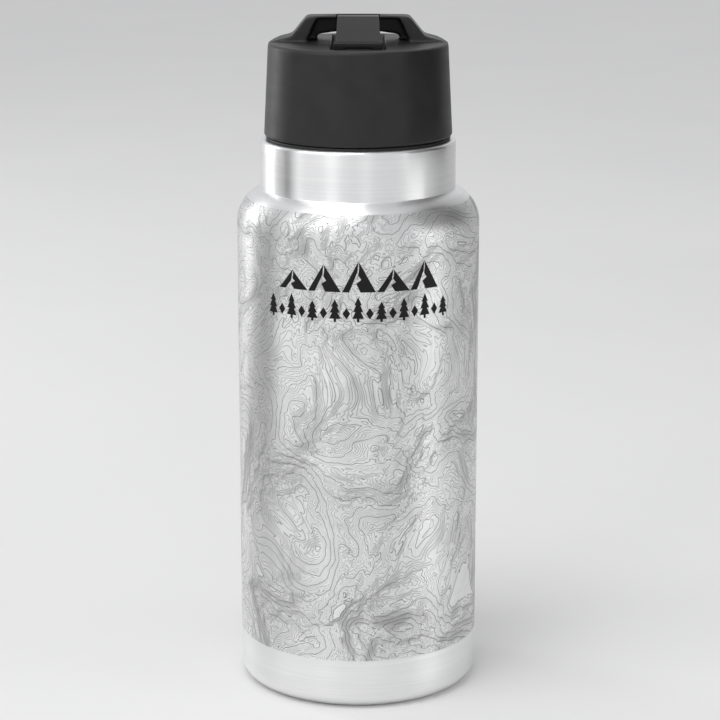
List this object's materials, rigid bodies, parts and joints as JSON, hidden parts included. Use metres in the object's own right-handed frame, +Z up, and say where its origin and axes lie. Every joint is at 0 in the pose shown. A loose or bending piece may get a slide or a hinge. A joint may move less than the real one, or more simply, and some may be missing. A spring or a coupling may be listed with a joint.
{
  "type": "insulated water bottle",
  "caption": "Straight-sided vacuum-insulated steel bottle with a stepped neck, a screw lid, a carry handle and a flip-up straw spout.",
  "frame": {"origin": "centre of the base, on the surface that the bottle stands on", "axes": "+Z up along the bottle's axis; the spout's lip points towards -Y and the handle lies across X behind it"},
  "size_m": [0.09, 0.09, 0.2521],
  "materials": {
    "brushed_steel": "brushed stainless steel, with a printed contour pattern on the body",
    "inner_steel": "plain stainless steel",
    "black_plastic": "satin moulded plastic",
    "grey_plastic": "satin moulded plastic",
    "foam": "closed-cell foam",
    "black_rubber": "silicone rubber",
    "clear_rubber": "milky silicone rubber",
    "clear_plastic": "milky straw plastic",
    "seal_bead": "fused glass bead"
  },
  "bodies": {
    "bottle": {"outer_shell": "brushed_steel", "outer_base": "brushed_steel", "base_plate": "inner_steel", "vacuum_seal": "seal_bead", "getter": "inner_steel", "inner_vessel": "inner_steel", "inner_bottom": "inner_steel"},
    "straw_line": {"straw": "clear_plastic"},
    "seal_ring": {"lid_gasket": "black_rubber"},
    "lid": {"lid_cover": "black_plastic", "lid_plug": "grey_plastic", "lid_insulation": "foam", "channel_seal": "black_rubber", "vent_valve": "clear_rubber", "straw_adapter": "grey_plastic", "hinge_cradle": "black_plastic", "hinge_pin_left": "inner_steel", "hinge_pin_right": "inner_steel", "port_seal": "black_rubber"},
    "spout": {"spout_shell": "black_plastic", "spout_core": "black_plastic", "mouthpiece": "black_rubber"}
  },
  "joints": [
    {"name": "lid_off", "type": "slide", "parent": "bottle", "child": "straw_line", "axis": [0, 0, 1], "range_m": [0, 0.22]},
    {"name": "lid_lift", "type": "slide", "parent": "straw_line", "child": "seal_ring", "axis": [0, 0, 1], "range_m": [0, 0.00801]},
    {"name": "lid_turn", "type": "hinge", "parent": "seal_ring", "child": "lid", "pos_m": [0, 0, 0.2073], "axis": [0, 0, 1], "range_deg": [0, 720]},
    {"name": "spout_flip", "type": "hinge", "parent": "lid", "child": "spout", "pos_m": [0, 0, 0.244], "axis": [-1, 0, 0], "range_deg": [0, 90]}
  ],
  "couplings": [
    {"joint": "lid_lift", "follows": "lid_turn", "m_per_rad": 0.00063662}
  ]
}
